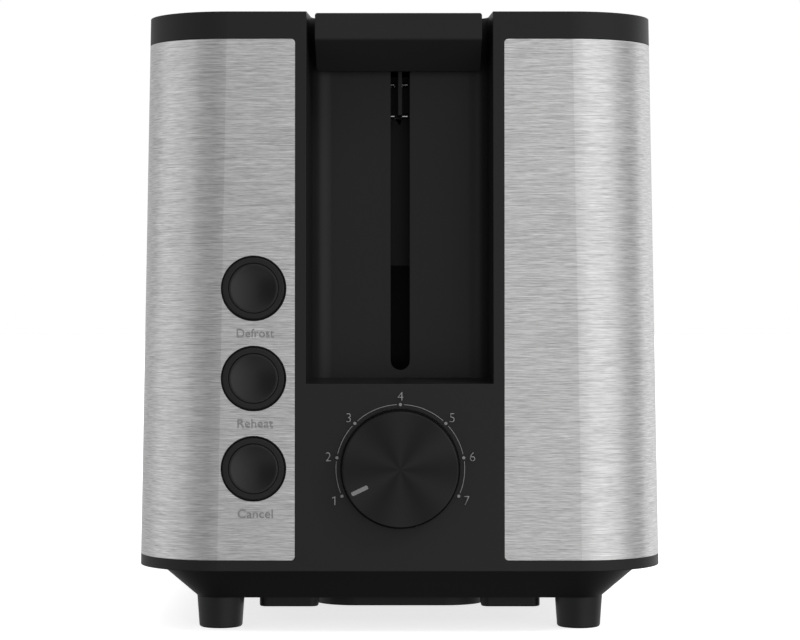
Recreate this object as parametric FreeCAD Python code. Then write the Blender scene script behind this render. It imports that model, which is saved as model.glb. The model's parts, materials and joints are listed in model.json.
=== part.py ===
import FreeCAD, Part
import math
import os

# Two-slice pop-up toaster, in millimetres.
# +Z is up and Z = 0 is the surface it stands on. The control end faces -Y, X = 0 is the middle
# of its width, and Y = 0 is the middle of its length with the browning knob counted in.

os.makedirs("parts", exist_ok=True)
V = FreeCAD.Vector

# ---------------------------------------------------------------- driving dimensions
# body
BASE_WIDTH = 170.5
TOP_WIDTH = 164.5
BASE_LENGTH = 277.9
BODY_TOP = 200.0
RIM_BOTTOM = 21.0
CORNER_RADIUS = 27.0
WALL = 3.0
ROOF_THICKNESS = 3.6
KNOB_OVERHANG = 4.5
GAP = 0.05

# steel side covers, let into the housing so that both are flush outside
STRIP_HALF = 33.4
STEEL_BOTTOM = 24.4
STEEL_TOP = 191.3
STEEL_THICKNESS = 0.8
STEEL_SEAM = 0.12
STEEL_CORNER = 1.2

# lever recess in the control end
RECESS_HALF = 30.05
RECESS_DRAFT = math.tan(math.radians(3.2))
RECESS_DEPTH = 25.0
RECESS_FLOOR = 80.7
RECESS_FLOOR_SLOPE = math.tan(math.radians(3.0))
RECESS_FILLET = 6.4
RECESS_WALL = 2.4
SLOT_WIDTH = 6.25
SLOT_MIDDLE = 0.15
SLOT_BOTTOM = 84.5
SLOT_TOP = 190.0

# base
PAN_BOTTOM = 10.4
PAN_FLOOR = 2.5
PAN_LEDGE = 6.2
PAN_SLOPE_IN = 12.4
PAN_BOTTOM_CORNER = 8.4
PAN_FLANGE_TOP = 23.2
HUB_HALF = 29.0
HUB_CORNER = 13.7
HUB_BOTTOM = 4.5
HUB_FROM_END = 45.0
CLEAT_FROM_END = 30.0
CLEAT_INNER = 27.0
CLEAT_OUTER = 46.5
CLEAT_DEPTH = 14.0
CLEAT_BOTTOM = 6.0
FOOT_X = 59.0
FOOT_FROM_END = 27.5
FOOT_TOP_RADIUS = 7.8
FOOT_BOTTOM_RADIUS = 7.05
PAN_SCREW_X = 60.5
PAN_SCREW_Y = 70.0

# oven
OVEN_FRONT = -76.0
OVEN_REAR = 86.0
OVEN_BOTTOM = 24.0
OVEN_TOP = 190.0
SHEET = 0.8
SLOT_X = 29.0
SLOT_LENGTH = 150.0
SLOT_HALF = 16.5
SLOT_LIP = 1.2
SLOT_LIP_BOTTOM = 190.5
DECK_THICKNESS = 1.65
DECK_TOP = 199.4
DECK_HALF = 70.0
DECK_CORNER = 18.0
GUIDE_OFFSET = 14.5
GUIDE_PIVOT_Z = 38.0
GUIDE_TOP_Z = 176.0
GUIDE_ROD = 1.2
GUIDE_WIRE = 0.8
HEATER_OUTER_X = 49.5
HEATER_INNER_X = 8.5
REFLECTOR_X = 53.5

# carriage, at rest at the top of its travel
CARRIAGE_Y = -99.2
CARRIAGE_BOTTOM = 122.0
CARRIAGE_TOP = 182.0
KEEPER_GUARD = 3.0
GUARD_HALF = 14.0
BRACKET_WINDOW = (-30.0, -8.0, 140.0, 160.0)
RIB_NOTCH = ((-1.4, 167.9), (0.7, 167.9), (0.0, 166.0))
CARRIAGE_HALF = 36.0
ROD_X = 24.0
ROD_Y = -90.0
ROD_RADIUS = 2.5
RUNNING_FIT = 0.06
SPRING_X = -20.0
LIFTER_BOTTOM = 126.0
LIFTER_TOP = 134.0
TRAVEL = 80.0

# lever
LEVER_HALF = 26.8
LEVER_X = -0.4
LEVER_SETBACK = 4.0
LEVER_TOP = 199.6
LEVER_FACE_BOTTOM = 191.1
LEVER_BOTTOM = 182.5
LEVER_BACK = 22.4
LEVER_BACK_CORNER = 3.2
LEVER_TOP_EDGE = 0.8
LEVER_CHIN_EDGE = 1.0
RIB_THICKNESS = 1.3
RIB_BOTTOM = 168.5
RIB_TOP = 187.0
RIB_X = 0.1
CLIP_HEIGHTS = {168.15: 0.32, 178.65: 0.14}
CLIP_TONGUES = ((-6.0, -1.7), (0.8, 2.65))
CLIP_REACH = 8.0
CLIP_STEEL = 0.4

# controls
KNOB_X = 0.2
KNOB_Z = 53.7
KNOB_RADIUS = 18.6
KNOB_SEAT_RADIUS = 19.05
KNOB_SEAT_DEPTH = 1.0
KNOB_EDGE = 0.45
POINTER_ANGLE = 207.2
POINTER_TURN = 205.5
POINTER_REACH = 14.5
POINTER_LENGTH = 5.8
POINTER_WIDTH = 1.45
POINTER_CORNER = 0.4
POINTER_DEPTH = 0.25
SHAFT_RADIUS = 3.0
BUTTON_X = -46.7
BUTTON_HEIGHTS = {"defrost_button": 111.3, "reheat_button": 82.5, "cancel_button": 53.7}
BUTTON_RADIUS = 7.9
BUTTON_BORE = 8.04
COLLAR_RADIUS = 9.8
COLLAR_HEIGHT = 1.2
COLLAR_EDGE = 0.2
BUTTON_EDGE = 0.12
DISH_DEPTH = 0.8
DISH_MARGIN = 0.7
COVER_HOLE = 10.5
COLLAR_GROOVE = 2.0
BUTTON_TRAVEL = 1.5
BOARD_Y = -122.0
BOARD_POSTS = ((-55.0, 97.0), (-39.0, 68.0), (18.0, 60.0), (-55.0, 41.0))
BOARD_THICKNESS = 1.6

# crumb tray
TRAY_HALF = 53.0
TRAY_BOTTOM = 13.6
TRAY_TOP = 19.2
TRAY_FRONT = -92.0
TRAY_HANDLE_HALF = 54.4

# mains entry
TERMINALS = (39.0, 51.0)
TERMINAL_Z = 67.0
LEAD_RADIUS = 1.3
GLAND_Z = 40.0
GLAND_BORE = 3.4
GLAND_RADIUS = 6.0

# ---------------------------------------------------------------- derived places
BODY_Y = KNOB_OVERHANG / 2
FRONT = BODY_Y - BASE_LENGTH / 2
REAR = BODY_Y + BASE_LENGTH / 2
DRAFT = (BASE_WIDTH - TOP_WIDTH) / 2 / (BODY_TOP - RIM_BOTTOM)
ROOF_BOTTOM = BODY_TOP - ROOF_THICKNESS
RECESS_BACK = FRONT + RECESS_DEPTH
DECK_FRONT = RECESS_BACK + 7.0
DECK_REAR = REAR - 13.0
DECK_BOTTOM = DECK_TOP - DECK_THICKNESS
OVEN_MIDDLE = (OVEN_FRONT + OVEN_REAR) / 2
SLOT_FRONT = OVEN_MIDDLE - SLOT_LENGTH / 2
SLOT_REAR = OVEN_MIDDLE + SLOT_LENGTH / 2
X_AXIS = V(1, 0, 0)
Y_AXIS = V(0, 1, 0)
Z_AXIS = V(0, 0, 1)
SIDES = {"left": -1, "right": 1}


# ---------------------------------------------------------------- shape helpers
def box(x0, x1, y0, y1, z0, z1):
    return Part.makeBox(x1 - x0, y1 - y0, z1 - z0, V(x0, y0, z0))


def rounded_box(x0, x1, y0, y1, z0, z1, radius, axis):
    """A box whose four edges along the axis are rounded."""
    block = box(x0, x1, y0, y1, z0, z1)
    edges = [edge for edge in block.Edges if abs(edge.tangentAt(0).dot(axis)) > 0.9]
    return block.makeFillet(radius, edges)


def cylinder_y(x, z, radius, y0, y1):
    return Part.makeCylinder(radius, y1 - y0, V(x, y0, z), Y_AXIS)


def cylinder_z(x, y, radius, z0, z1):
    return Part.makeCylinder(radius, z1 - z0, V(x, y, z0), Z_AXIS)


def circles_at(shape, y):
    """The round edges of a shape that lie in the plane at y."""
    return [edge for edge in shape.Edges if abs(edge.BoundBox.YMin - y) < 0.01 and edge.BoundBox.YLength < 0.01]


def all_of(first, *others):
    return first.multiFuse(list(others)).removeSplitter() if others else first


def rounded_rectangle(half_x, half_y, radius, z):
    """A level wire of four arcs and four lines round the middle of the body."""
    arcs = []
    for quarter, (side_x, side_y) in enumerate(((1, 1), (-1, 1), (-1, -1), (1, -1))):
        middle = V(side_x * (half_x - radius), BODY_Y + side_y * (half_y - radius), z)
        start = quarter * math.pi / 2
        arcs.append(Part.Arc(Part.Circle(middle, Z_AXIS, radius), start, start + math.pi / 2))
    edges = []
    for this_arc, next_arc in zip(arcs, arcs[1:] + arcs[:1]):
        edges.append(this_arc.toShape())
        edges.append(Part.LineSegment(this_arc.EndPoint, next_arc.StartPoint).toShape())
    return Part.Wire(edges)


def body_slice(inset, z0, z1):
    """The drafted outer form of the body between two heights, moved in by inset."""
    wires = []
    for z in (z0, z1):
        shrink = DRAFT * (z - RIM_BOTTOM) + inset
        half_x = BASE_WIDTH / 2 - shrink
        half_y = BASE_LENGTH / 2 - shrink
        wires.append(rounded_rectangle(half_x, half_y, CORNER_RADIUS - inset, z))
    return Part.makeLoft(wires, True, True)


def front_face_y(z):
    return FRONT + DRAFT * (z - RIM_BOTTOM)


def yz_prism(points, x0, x1):
    """A prism along X over an outline given as (y, z) points."""
    corners = [V(x0, y, z) for y, z in points]
    return Part.Face(Part.makePolygon(corners + corners[:1])).extrude(V(x1 - x0, 0, 0))


def save(name, *solids):
    shape = solids[0] if len(solids) == 1 else Part.makeCompound(list(solids))
    if shape.ShapeType == "Compound" and len(shape.Solids) == 1:
        shape = shape.Solids[0]
    if not shape.isValid():
        print("not valid:", name)
    shape.exportStep("parts/" + name + ".step")
    bounds = shape.BoundBox
    print("%-24s %2d solids %9.1f mm3  z %.1f..%.1f" % (
        name, len(shape.Solids), shape.Volume, bounds.ZMin, bounds.ZMax))


# ---------------------------------------------------------------- housing
def cover_window(side, gap):
    """The end outline of one steel cover, run through the whole length."""
    x_inner = STRIP_HALF + gap
    x_outer = BASE_WIDTH
    x0, x1 = sorted((side * x_inner, side * x_outer))
    low = STEEL_BOTTOM + gap
    high = STEEL_TOP - gap
    return rounded_box(x0, x1, FRONT - 5, REAR + 5, low, high, STEEL_CORNER, Y_AXIS)


def steel_layer(outer_inset, inner_inset):
    outside = body_slice(outer_inset, STEEL_BOTTOM - 1, STEEL_TOP + 1)
    return outside.cut(body_slice(inner_inset, STEEL_BOTTOM - 2, STEEL_TOP + 2))


def recess_form(grow):
    """The lever recess, open to the front and the top, made larger all round by grow."""
    mouth = FRONT - 12.0
    back = RECESS_BACK + grow
    mouth_half = RECESS_HALF + grow + RECESS_DRAFT * (FRONT - mouth)
    back_half = RECESS_HALF + grow - RECESS_DRAFT * RECESS_DEPTH
    plan = [V(-mouth_half, mouth, 60), V(mouth_half, mouth, 60), V(back_half, back, 60), V(-back_half, back, 60)]
    column = Part.Face(Part.makePolygon(plan + plan[:1])).extrude(V(0, 0, 170))
    back_edges = [edge for edge in column.Edges
                  if edge.BoundBox.ZLength > 100 and edge.BoundBox.YMin > FRONT]
    column = column.makeFillet(RECESS_FILLET + grow, back_edges)
    floor_front = RECESS_FLOOR - grow - RECESS_FLOOR_SLOPE * (FRONT - mouth)
    floor_back = RECESS_FLOOR - grow + RECESS_FLOOR_SLOPE * (back + 5 - FRONT)
    outline = [(mouth - 1, floor_front), (back + 5, floor_back), (back + 5, 240), (mouth - 1, 240)]
    return column.common(yz_prism(outline, -60, 60))


def lever_slot():
    half = SLOT_WIDTH / 2
    x0 = SLOT_MIDDLE - half
    x1 = SLOT_MIDDLE + half
    return rounded_box(x0, x1, RECESS_BACK - 2, RECESS_BACK + 6, SLOT_BOTTOM, SLOT_TOP, half - 0.01, Y_AXIS)


def deck_outline(grow, z0, z1):
    half = DECK_HALF + grow
    return rounded_box(-half, half, DECK_FRONT - grow, DECK_REAR + grow, z0, z1, DECK_CORNER + grow, Z_AXIS)


def bosses(y):
    """Two posts that the base screws enter, each with a web to the side wall."""
    posts = []
    for side in SIDES.values():
        x = side * PAN_SCREW_X
        posts.append(cylinder_z(x, y, 4.0, PAN_FLANGE_TOP + 0.1, 44))
        x0, x1 = sorted((x, side * (BASE_WIDTH / 2 - WALL)))
        posts.append(box(x0, x1, y - 1.2, y + 1.2, 26, 44))
    return posts


def boss_bores(y):
    return [cylinder_z(side * PAN_SCREW_X, y, 1.62, PAN_FLANGE_TOP - 1, 36) for side in SIDES.values()]


def button_collars():
    collars = []
    for z in BUTTON_HEIGHTS.values():
        y = front_face_y(z) - COLLAR_HEIGHT
        ring = cylinder_y(BUTTON_X, z, COLLAR_RADIUS, y, y + COLLAR_HEIGHT + WALL - 0.5)
        ring = ring.cut(cylinder_y(BUTTON_X, z, BUTTON_BORE, y - 1, y + 10))
        collars.append(ring.makeFillet(COLLAR_EDGE, circles_at(ring, y)))
    return collars


def build_housings():
    outer = body_slice(0, RIM_BOTTOM, BODY_TOP)
    shell = outer.cut(body_slice(WALL, RIM_BOTTOM - 1, ROOF_BOTTOM))
    layer = steel_layer(-2, STEEL_THICKNESS + GAP)
    for side in SIDES.values():
        shell = shell.cut(layer.common(cover_window(side, 0)))
    shell = shell.cut(deck_outline(0.15, DECK_BOTTOM - GAP, BODY_TOP + 1))
    shell = shell.cut(deck_outline(-3.0, ROOF_BOTTOM - 1, BODY_TOP + 1))

    front = shell.common(box(-120, 120, FRONT - 20, BODY_Y - GAP, 0, 240))
    recess_walls = recess_form(RECESS_WALL).common(outer)
    posts = []
    for x, z in BOARD_POSTS:
        posts.append(cylinder_y(x, z, 2.6, front_face_y(z) + WALL - 0.6, BOARD_Y - GAP))
    front = all_of(front, recess_walls, *(bosses(BODY_Y - PAN_SCREW_Y) + button_collars() + posts))
    holes = [recess_form(0), lever_slot()] + boss_bores(BODY_Y - PAN_SCREW_Y)
    for z in BUTTON_HEIGHTS.values():
        holes.append(cylinder_y(BUTTON_X, z, BUTTON_BORE, FRONT - 5, FRONT + 10))
        groove_floor = front_face_y(z) + COLLAR_GROOVE
        groove = cylinder_y(BUTTON_X, z, COVER_HOLE, FRONT - 5, groove_floor)
        holes.append(groove.cut(cylinder_y(BUTTON_X, z, COLLAR_RADIUS, FRONT - 6, groove_floor + 1)))
    for x, z in BOARD_POSTS:
        holes.append(cylinder_y(x, z, 1.02, FRONT + WALL + 4, BOARD_Y + 1))
    seat = front_face_y(KNOB_Z) + KNOB_SEAT_DEPTH
    holes.append(cylinder_y(KNOB_X, KNOB_Z, KNOB_SEAT_RADIUS, FRONT - 5, seat))
    holes.append(cylinder_y(KNOB_X, KNOB_Z, 4.1, FRONT - 5, FRONT + 10))
    save("front_housing", front.cut(holes[0].multiFuse(holes[1:])))

    rear = shell.common(box(-120, 120, BODY_Y + GAP, REAR + 20, 0, 240))
    rear = all_of(rear, *bosses(BODY_Y + PAN_SCREW_Y))
    holes = boss_bores(BODY_Y + PAN_SCREW_Y)
    holes.append(cylinder_y(0, GLAND_Z, GLAND_RADIUS + GAP, REAR - 20, REAR + 10))
    save("rear_housing", rear.cut(holes[0].multiFuse(holes[1:])))


def build_covers():
    layer = steel_layer(0, STEEL_THICKNESS)
    for name, side in SIDES.items():
        cover = layer.common(cover_window(side, STEEL_SEAM))
        if side < 0:
            for z in BUTTON_HEIGHTS.values():
                cover = cover.cut(cylinder_y(BUTTON_X, z, COVER_HOLE, FRONT - 5, FRONT + 15))
        save(name + "_side_cover", cover)


def build_deck():
    deck = deck_outline(0, DECK_BOTTOM, DECK_TOP)
    for side in SIDES.values():
        x = side * SLOT_X
        half = SLOT_HALF + SLOT_LIP
        deck = deck.fuse(rounded_box(
            x - half, x + half, SLOT_FRONT - SLOT_LIP, SLOT_REAR + SLOT_LIP,
            SLOT_LIP_BOTTOM, DECK_BOTTOM + 0.5, 4.0 + SLOT_LIP, Z_AXIS))
    for side in SIDES.values():
        x = side * SLOT_X
        deck = deck.cut(rounded_box(
            x - SLOT_HALF, x + SLOT_HALF, SLOT_FRONT, SLOT_REAR,
            SLOT_LIP_BOTTOM - 1, BODY_TOP + 1, 4.0, Z_AXIS))
    rims = [edge for edge in deck.Edges
            if abs(edge.BoundBox.ZMin - DECK_TOP) < 0.01 and edge.BoundBox.ZLength < 0.01
            and abs(edge.BoundBox.Center.x) < DECK_HALF - 5 and edge.BoundBox.XMax < SLOT_X + SLOT_HALF + 1
            and edge.BoundBox.XMin > -SLOT_X - SLOT_HALF - 1]
    save("top_deck", deck.makeFillet(0.8, rims))


# ---------------------------------------------------------------- base
def pan_form(inset):
    """The inward sloping skirt of the base."""
    top_half_x = BASE_WIDTH / 2 - PAN_LEDGE - inset
    top_half_y = BASE_LENGTH / 2 - PAN_LEDGE - inset
    bottom_half_x = top_half_x - PAN_SLOPE_IN
    bottom_half_y = top_half_y - PAN_SLOPE_IN
    lower = rounded_rectangle(bottom_half_x, bottom_half_y, PAN_BOTTOM_CORNER - inset, PAN_BOTTOM)
    upper = rounded_rectangle(top_half_x, top_half_y, CORNER_RADIUS - PAN_LEDGE - inset, RIM_BOTTOM)
    return Part.makeLoft([lower, upper], True, True)


def hub_form(inset, z0, z1):
    half = HUB_HALF - inset
    y0 = FRONT + HUB_FROM_END + inset
    y1 = REAR - HUB_FROM_END - inset
    return rounded_box(-half, half, y0, y1, z0, z1, HUB_CORNER - inset, Z_AXIS)


def cleat(side, end):
    """One bridge that the stored cord is tucked under."""
    x0, x1 = sorted((side * CLEAT_INNER, side * CLEAT_OUTER))
    y0, y1 = sorted((end[0], end[0] + end[1] * CLEAT_DEPTH))
    block = rounded_box(x0, x1, y0, y1, CLEAT_BOTTOM, PAN_BOTTOM + 0.5, 2.6, Z_AXIS)
    rims = [edge for edge in block.Edges if abs(edge.BoundBox.ZMax - CLEAT_BOTTOM) < 0.01]
    block = block.makeFillet(0.5, rims)
    return block.cut(box(x0 + 3.0, x1 - 3.0, y0 - 1, y1 + 1, PAN_BOTTOM - 1.1, PAN_BOTTOM))


def vent_slots():
    slots = []
    for side in SIDES.values():
        for row in range(9):
            y = BODY_Y + (row - 4) * 14.0
            x0, x1 = sorted((side * 34.0, side * 50.0))
            slots.append(rounded_box(x0, x1, y - 1.6, y + 1.6, PAN_BOTTOM - 1, PAN_BOTTOM + 5, 1.5, Z_AXIS))
    return slots


def screw_places():
    return [(side * PAN_SCREW_X, BODY_Y + end * PAN_SCREW_Y) for side in (-1, 1) for end in (-1, 1)]


def foot_places():
    places = {}
    for end, y in (("front", FRONT + FOOT_FROM_END), ("rear", REAR - FOOT_FROM_END)):
        for name, side in SIDES.items():
            places["foot_%s_%s" % (end, name)] = (side * FOOT_X, y)
    return places


def build_base_pan():
    flange = body_slice(WALL + 0.1, RIM_BOTTOM, PAN_FLANGE_TOP)
    pan = all_of(pan_form(0), flange, hub_form(0, HUB_BOTTOM, PAN_BOTTOM + 1))
    inside = pan_form(2.5).common(box(-120, 120, FRONT, REAR, PAN_BOTTOM + PAN_FLOOR, RIM_BOTTOM))
    inside = inside.fuse(body_slice(WALL + 7.0, RIM_BOTTOM - 0.01, PAN_FLANGE_TOP + 1))
    inside = inside.fuse(hub_form(2.5, HUB_BOTTOM + 2.5, PAN_BOTTOM + PAN_FLOOR + 1))
    pan = pan.cut(inside)
    columns = []
    for x, y in screw_places():
        columns.append(cylinder_z(x, y, 4.3, PAN_BOTTOM + 1, PAN_FLANGE_TOP))
    ends = ((FRONT + CLEAT_FROM_END, 1), (REAR - CLEAT_FROM_END, -1))
    for side in SIDES.values():
        for end in ends:
            columns.append(cleat(side, end))
    pan = all_of(pan, *columns)
    holes = vent_slots()
    for x, y in screw_places():
        holes.append(cylinder_z(x, y, 1.8, PAN_BOTTOM - 1, PAN_FLANGE_TOP + 1))
        holes.append(cylinder_z(x, y, 3.6, PAN_BOTTOM - 1, PAN_BOTTOM + 1.6))
    for x, y in foot_places().values():
        holes.append(cylinder_z(x, y, 3.0 + GAP, PAN_BOTTOM - 1, PAN_BOTTOM + 5))
    mouth_half = TRAY_HANDLE_HALF + 0.3
    holes.append(box(-mouth_half, mouth_half, REAR - 30, REAR + 1, PAN_BOTTOM + PAN_FLOOR, TRAY_TOP + 0.4))
    save("base_pan", pan.cut(holes[0].multiFuse(holes[1:])))


def build_feet():
    for name, (x, y) in foot_places().items():
        foot = Part.makeCone(FOOT_BOTTOM_RADIUS, FOOT_TOP_RADIUS, PAN_BOTTOM - GAP, V(x, y, 0), Z_AXIS)
        rims = [edge for edge in foot.Edges if edge.BoundBox.ZMax < 0.01]
        foot = foot.makeFillet(0.8, rims)
        spigot = cylinder_z(x, y, 3.0, 5, PAN_BOTTOM + PAN_FLOOR + 0.5)
        save(name, all_of(foot, spigot))


def cross_recess_screw(head_centre, axis, head_radius, head_height, shank_radius, shank_length):
    """A pan-head screw with its head's outer face at head_centre, driven along the axis."""
    head = Part.makeCylinder(head_radius, head_height, V(0, 0, 0), Z_AXIS)
    rims = [edge for edge in head.Edges if edge.BoundBox.ZMax < 0.01]
    head = head.makeFillet(head_height * 0.4, rims)
    shank = Part.makeCylinder(shank_radius, shank_length, V(0, 0, head_height - 0.1), Z_AXIS)
    arm = head_radius * 0.6
    blade = head_radius * 0.12
    depth = head_height * 0.6
    screw = head.fuse(shank).cut(box(-arm, arm, -blade, blade, -1, depth))
    screw = screw.cut(box(-blade, blade, -arm, arm, -1, depth))
    screw.Placement = FreeCAD.Placement(head_centre, FreeCAD.Rotation(Z_AXIS, axis))
    return screw


def build_base_screws():
    screws = []
    for x, y in screw_places():
        screws.append(cross_recess_screw(V(x, y, PAN_BOTTOM + 0.1), Z_AXIS, 3.4, 1.45, 1.6, 22.0))
    save("base_screws", *screws)


def build_crumb_tray():
    rear = REAR - 24.0
    outside = box(-TRAY_HALF, TRAY_HALF, TRAY_FRONT, rear, TRAY_BOTTOM, TRAY_TOP)
    inner_half = TRAY_HALF - 0.6
    inside = box(-inner_half, inner_half, TRAY_FRONT + 0.6, rear - 0.6, TRAY_BOTTOM + 0.6, TRAY_TOP + 1)
    save("crumb_tray", outside.cut(inside))
    half = TRAY_HANDLE_HALF
    plug = pan_form(0).common(box(-half, half, rear + GAP, REAR, TRAY_BOTTOM - 0.1, TRAY_TOP))
    lip = rounded_box(-22, 22, REAR - 20, REAR - 3.5, TRAY_BOTTOM + 2.2, TRAY_TOP - 0.4, 1.4, X_AXIS)
    save("crumb_tray_handle", all_of(plug, lip))


# ---------------------------------------------------------------- oven
def build_bulkheads():
    half = REFLECTOR_X + 1.0
    for name, y0 in (("front_bulkhead", OVEN_FRONT - SHEET), ("rear_bulkhead", OVEN_REAR)):
        y1 = y0 + SHEET
        plate = box(-half, half, y0, y1, OVEN_BOTTOM, OVEN_TOP)
        if y0 < 0:
            top = box(-30, 38, ROD_Y - 6, y1, OVEN_TOP - SHEET, OVEN_TOP)
            bottom = box(-36, 38, ROD_Y - 6, y1, OVEN_BOTTOM, OVEN_BOTTOM + SHEET)
            plate = all_of(plate, top, bottom)
        holes = [cylinder_z(ROD_X, ROD_Y, ROD_RADIUS + RUNNING_FIT, OVEN_BOTTOM - 5, OVEN_TOP + 5)]
        holes.append(cylinder_z(SPRING_X, ROD_Y, 1.2, OVEN_TOP - 5, OVEN_TOP + 5))
        for side in SIDES.values():
            x = side * SLOT_X
            low = LIFTER_BOTTOM - TRAVEL - 2.0
            holes.append(rounded_box(x - 2, x + 2, y0 - 1, y1 + 1, low, LIFTER_TOP + 4, 1.9, Y_AXIS))
            for offset in (-GUIDE_OFFSET, GUIDE_OFFSET):
                holes.append(cylinder_y(x + offset, GUIDE_PIVOT_Z, GUIDE_ROD + 0.08, y0 - 1, y1 + 1))
        save(name, plate.cut(holes[0].multiFuse(holes[1:])))


def build_reflectors():
    for name, side in SIDES.items():
        x0, x1 = sorted((side * REFLECTOR_X, side * (REFLECTOR_X + 0.6)))
        save(name + "_reflector", box(x0, x1, OVEN_FRONT + GAP, OVEN_REAR - GAP, OVEN_BOTTOM, OVEN_TOP))


def build_heaters():
    """Mica boards held between the bulkheads, each wound with flat resistance ribbon."""
    wind_front = OVEN_FRONT + 8.0
    wind_rear = OVEN_REAR - 8.0
    half = 0.4
    for side_name, side in SIDES.items():
        for place, distance in (("outer", HEATER_OUTER_X), ("inner", HEATER_INNER_X)):
            x = side * distance
            board = box(x - half, x + half, OVEN_FRONT + GAP, OVEN_REAR - GAP, 28, 186)
            for y0, y1 in ((OVEN_FRONT - 1, wind_front), (wind_rear, OVEN_REAR + 1)):
                board = board.cut(box(x - 1, x + 1, y0, y1, 40, 174))
            save("%s_%s_heater_board" % (side_name, place), board)
            ribbons = []
            for turn in range(14):
                z = 46.0 + turn * 9.2
                ring = box(x - half - 0.35, x + half + 0.35, wind_front - 0.35, wind_rear + 0.35, z, z + 1.6)
                hole = box(x - half - 0.05, x + half + 0.05, wind_front - 0.05, wind_rear + 0.05, z - 1, z + 3)
                ribbons.append(ring.cut(hole))
            save("%s_%s_heater_winding" % (side_name, place), *ribbons)


def build_bread_guides():
    """Wire grilles that pivot on their bottom rods and close on the bread."""
    wires = 10
    first = SLOT_FRONT + 6.0
    step = (SLOT_LENGTH - 12.0) / (wires - 1)
    for side_name, side in SIDES.items():
        for place, offset in (("outer", GUIDE_OFFSET), ("inner", -GUIDE_OFFSET)):
            x = side * (SLOT_X + offset)
            pieces = [cylinder_y(x, GUIDE_PIVOT_Z, GUIDE_ROD, OVEN_FRONT - 2, OVEN_REAR + 2)]
            pieces.append(cylinder_y(x, GUIDE_TOP_Z, 1.0, first - 4, first + step * (wires - 1) + 4))
            pieces.append(cylinder_y(x, 107.0, 1.0, first - 4, first + step * (wires - 1) + 4))
            for number in range(wires):
                pieces.append(cylinder_z(x, first + number * step, GUIDE_WIRE, GUIDE_PIVOT_Z, GUIDE_TOP_Z))
            save("%s_%s_bread_guide" % (side_name, place), all_of(*pieces))


# ---------------------------------------------------------------- carriage and latch
def build_lever():
    face = FRONT + LEVER_SETBACK
    back = FRONT + LEVER_BACK
    x0 = LEVER_X - LEVER_HALF
    x1 = LEVER_X + LEVER_HALF
    outline = [(face, LEVER_TOP), (back, LEVER_TOP), (back, LEVER_BOTTOM),
               (back - 1.5, LEVER_BOTTOM), (face, LEVER_FACE_BOTTOM)]
    handle = yz_prism(outline, x0, x1)
    top_edges = [edge for edge in handle.Edges if edge.BoundBox.XLength < 0.01
                 and edge.BoundBox.YLength > 5 and edge.BoundBox.ZMin > LEVER_TOP - 0.01]
    handle = handle.makeFillet(LEVER_TOP_EDGE, top_edges)
    chin = [edge for edge in handle.Edges if edge.BoundBox.XLength > 20
            and abs(edge.BoundBox.Center.y - face) < 0.01 and abs(edge.BoundBox.Center.z - LEVER_FACE_BOTTOM) < 0.01]
    handle = handle.makeFillet(LEVER_CHIN_EDGE, chin)
    plan = rounded_box(x0, x1, face - 20, back, LEVER_BOTTOM - 5, LEVER_TOP + 5, LEVER_BACK_CORNER, Z_AXIS)
    handle = handle.common(plan)
    for low, high in ((x0 + 2.4, LEVER_X - 5), (LEVER_X + 5, x1 - 2.4)):
        handle = handle.cut(box(low, high, face + 3, back + 1, LEVER_FACE_BOTTOM + 0.8, LEVER_TOP - 2.2))
    rib_low = RIB_X - RIB_THICKNESS / 2
    rib_high = RIB_X + RIB_THICKNESS / 2
    neck = box(rib_low, rib_high, back - 0.5, RECESS_BACK + 1, LEVER_BOTTOM + 0.2, RIB_TOP)
    rib = box(rib_low, rib_high, RECESS_BACK + 0.6, CARRIAGE_Y - GAP, RIB_BOTTOM, RIB_TOP)
    save("lever_handle", all_of(handle, neck, rib))


def build_carriage():
    y0 = CARRIAGE_Y
    y1 = CARRIAGE_Y + 1.2
    plate = box(-CARRIAGE_HALF, CARRIAGE_HALF, y0, y1, CARRIAGE_BOTTOM, CARRIAGE_TOP)
    guard = box(-GUARD_HALF, GUARD_HALF, y0, y1, CARRIAGE_BOTTOM - KEEPER_GUARD, CARRIAGE_BOTTOM + 1)
    x0, x1, z0, z1 = BRACKET_WINDOW
    plate = plate.fuse(guard).cut(rounded_box(x0, x1, y0 - 1, y1 + 1, z0, z1, 3, Y_AXIS))
    low = box(-26, 32, y0, ROD_Y + 5, CARRIAGE_BOTTOM, CARRIAGE_BOTTOM + 1.2)
    high = box(14, 34, y0, ROD_Y + 5, CARRIAGE_TOP - 1.2, CARRIAGE_TOP)
    bracket = all_of(plate, low, high)
    tongues = []
    for z, tip in CLIP_HEIGHTS.items():
        for x0, x1 in CLIP_TONGUES:
            tongues.append(box(x0, x1, y0 - CLIP_REACH, y1 + CLIP_STEEL, z, z + tip))
            bracket = bracket.cut(box(x0 - 0.1, x1 + 0.1, y0 - 1, y1 + 1, z - 0.1, z + CLIP_STEEL + 0.1))
    spine = box(CLIP_TONGUES[0][0], CLIP_TONGUES[1][1], y1, y1 + CLIP_STEEL,
                min(CLIP_HEIGHTS), max(CLIP_HEIGHTS) + CLIP_STEEL)
    save("lever_clip", all_of(spine, *tongues))
    bracket = bracket.cut(cylinder_z(ROD_X, ROD_Y, ROD_RADIUS + RUNNING_FIT, 100, 200))
    bracket = bracket.cut(cylinder_z(SPRING_X, ROD_Y, 1.2, 100, 130))
    notch = [V(x, y0 - 1, z) for x, z in RIB_NOTCH]
    bracket = bracket.cut(Part.Face(Part.makePolygon(notch + notch[:1])).extrude(V(0, 4, 0)))
    save("carriage_bracket", bracket)
    save("guide_rod", cylinder_z(ROD_X, ROD_Y, ROD_RADIUS, OVEN_BOTTOM + 0.2, OVEN_TOP + 2))
    save("keeper_plate", box(-12, 12, y1 + 0.2, ROD_Y + 4, CARRIAGE_BOTTOM - 2.4, CARRIAGE_BOTTOM - GAP))


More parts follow.
